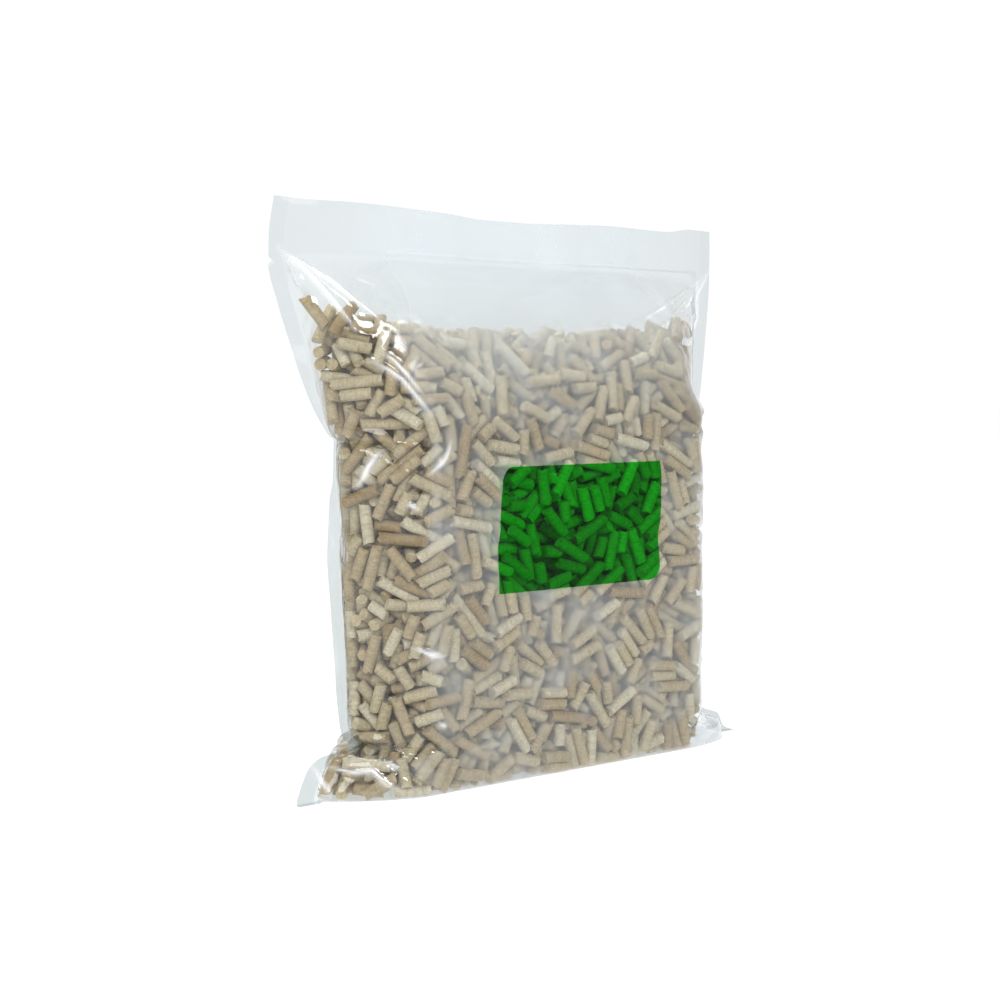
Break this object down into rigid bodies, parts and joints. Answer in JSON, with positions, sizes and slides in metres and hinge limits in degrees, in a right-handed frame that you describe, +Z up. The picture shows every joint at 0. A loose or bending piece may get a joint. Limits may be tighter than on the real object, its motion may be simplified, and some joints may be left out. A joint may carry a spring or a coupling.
{
  "type": "cat litter bag",
  "caption": "Clear welded film bag with a frosted middle and a printed green panel, standing upright and filled with short wood pellets.",
  "frame": {"origin": "on the floor, under the middle of the bag", "axes": "+X to the bag's right as seen from the printed face, +Y from the printed face to the back, +Z up"},
  "size_m": [0.3072, 0.0914, 0.2922],
  "materials": {
    "film": "clear glossy polyethylene film, frosted in the middle of each face",
    "pellets": "compressed sawdust, matt, pale tan"
  },
  "bodies": {
    "root": {"front_film": "film", "back_film": "film", "pellet_fill": "pellets", "loose_pellet_01": "pellets", "loose_pellet_02": "pellets", "loose_pellet_03": "pellets", "loose_pellet_04": "pellets", "loose_pellet_05": "pellets", "loose_pellet_06": "pellets", "loose_pellet_07": "pellets", "loose_pellet_08": "pellets", "loose_pellet_09": "pellets", "loose_pellet_10": "pellets", "loose_pellet_11": "pellets", "loose_pellet_12": "pellets", "loose_pellet_13": "pellets", "loose_pellet_14": "pellets", "loose_pellet_15": "pellets", "loose_pellet_16": "pellets", "loose_pellet_17": "pellets", "loose_pellet_18": "pellets", "loose_pellet_19": "pellets", "loose_pellet_20": "pellets", "loose_pellet_21": "pellets", "loose_pellet_22": "pellets", "loose_pellet_23": "pellets", "loose_pellet_24": "pellets", "loose_pellet_25": "pellets", "loose_pellet_26": "pellets", "loose_pellet_27": "pellets", "loose_pellet_28": "pellets", "loose_pellet_29": "pellets", "loose_pellet_30": "pellets", "loose_pellet_31": "pellets", "loose_pellet_32": "pellets", "loose_pellet_33": "pellets"}
  },
  "joints": []
}
